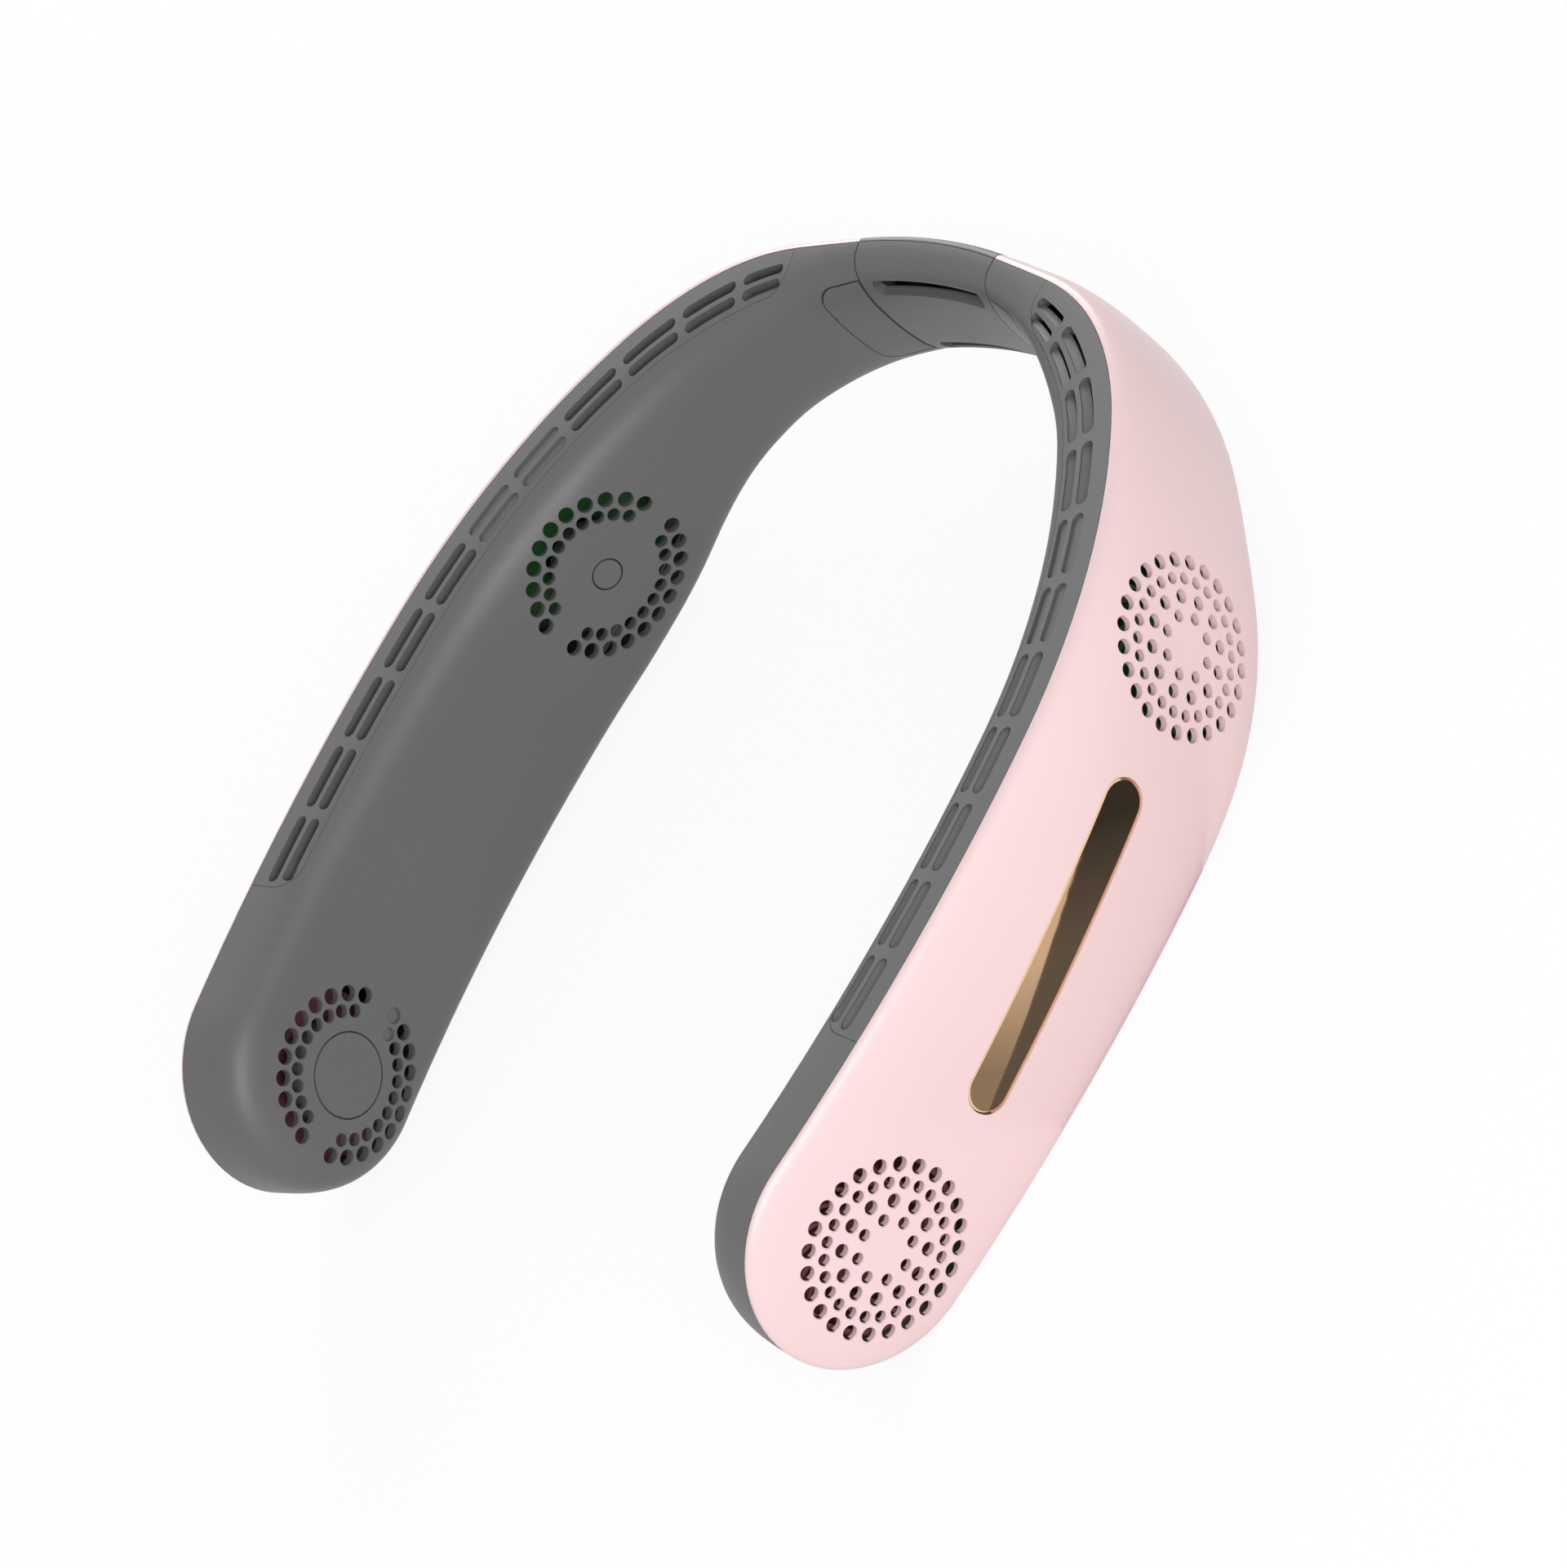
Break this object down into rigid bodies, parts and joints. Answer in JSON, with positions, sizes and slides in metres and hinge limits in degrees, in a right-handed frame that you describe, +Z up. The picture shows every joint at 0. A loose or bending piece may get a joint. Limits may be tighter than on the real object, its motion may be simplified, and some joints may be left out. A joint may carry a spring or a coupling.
{
  "type": "electric neck fan",
  "caption": "Wearable neck fan: two hollow arms hinged to a rear bridge, with slotted vents along the top rim, perforated intakes and blowers inside.",
  "frame": {"origin": "middle of the bounding box, at the level of the arms' lower rims", "axes": "+X to the right arm, with the name plate; +Y to the bridge behind the neck; +Z up, towards the vent strips"},
  "size_m": [0.2268, 0.2326, 0.0546],
  "materials": {
    "pink_shell": "smooth gloss",
    "grey_shell": "satin",
    "dark_plastic": "matte",
    "steel": "machined",
    "motor_steel": "satin",
    "cell_wrap": "wrapped pouch cell",
    "maroon_plastic": "satin",
    "green_plastic": "satin",
    "board": "solder mask",
    "gold": "polished"
  },
  "bodies": {
    "bridge": {"bridge_outer_shell": "grey_shell", "bridge_inner_shell": "grey_shell", "left_hinge_pin": "steel", "right_hinge_pin": "steel"},
    "left_arm": {"left_outer_cover": "pink_shell", "left_inner_shell": "grey_shell", "left_vent_strip": "grey_shell", "left_hinge_cover": "grey_shell", "left_rear_cap": "grey_shell", "left_front_motor_mount": "dark_plastic", "left_hinge_knuckle": "steel", "left_hinge_screws": "steel", "left_battery": "cell_wrap", "left_front_motor": "motor_steel", "left_rear_motor": "motor_steel", "control_board": "board", "power_switch": "dark_plastic", "charging_socket": "steel"},
    "right_arm": {"right_outer_cover": "pink_shell", "right_inner_shell": "grey_shell", "right_vent_strip": "grey_shell", "right_hinge_cover": "grey_shell", "right_rear_cap": "grey_shell", "right_front_motor_mount": "dark_plastic", "right_hinge_knuckle": "steel", "right_hinge_screws": "steel", "right_battery": "cell_wrap", "right_front_motor": "motor_steel", "right_rear_motor": "motor_steel", "right_front_cap": "grey_shell", "name_plate": "gold"},
    "power_button": {"power_button": "grey_shell"},
    "left_front_fan": {"left_front_impeller": "maroon_plastic", "left_front_shaft": "steel"},
    "left_rear_fan": {"left_rear_impeller": "green_plastic", "left_rear_shaft": "steel"},
    "right_front_fan": {"right_front_impeller": "maroon_plastic", "right_front_shaft": "steel"},
    "right_rear_fan": {"right_rear_impeller": "green_plastic", "right_rear_shaft": "steel"}
  },
  "joints": [
    {"name": "left_arm_hinge", "type": "hinge", "parent": "bridge", "child": "left_arm", "pos_m": [-0.02005, 0.11072, 0.0371], "axis": [0, 0, -1], "range_deg": [0, 3.5], "stiffness_Nm_per_rad": 2},
    {"name": "left_front_fan_spin", "type": "hinge", "parent": "left_arm", "child": "left_front_fan", "pos_m": [-0.09107, -0.08742, 0.02368], "axis": [-0.9863, -0.1651, 0], "continuous": true},
    {"name": "left_rear_fan_spin", "type": "hinge", "parent": "left_arm", "child": "left_rear_fan", "pos_m": [-0.09147, 0.03935, 0.0292], "axis": [-0.9556, 0.2948, 0], "continuous": true},
    {"name": "right_arm_hinge", "type": "hinge", "parent": "bridge", "child": "right_arm", "pos_m": [0.02005, 0.11072, 0.0371], "axis": [0, 0, 1], "range_deg": [0, 3.5], "stiffness_Nm_per_rad": 2},
    {"name": "right_front_fan_spin", "type": "hinge", "parent": "right_arm", "child": "right_front_fan", "pos_m": [0.09107, -0.08742, 0.02368], "axis": [0.9863, -0.1651, 0], "continuous": true},
    {"name": "right_rear_fan_spin", "type": "hinge", "parent": "right_arm", "child": "right_rear_fan", "pos_m": [0.09147, 0.03935, 0.0292], "axis": [0.9556, 0.2948, 0], "continuous": true},
    {"name": "power_button_press", "type": "slide", "parent": "left_arm", "child": "power_button", "axis": [-0.9863, -0.1651, 0], "range_m": [0, 0.0008], "stiffness_N_per_m": 1200}
  ]
}
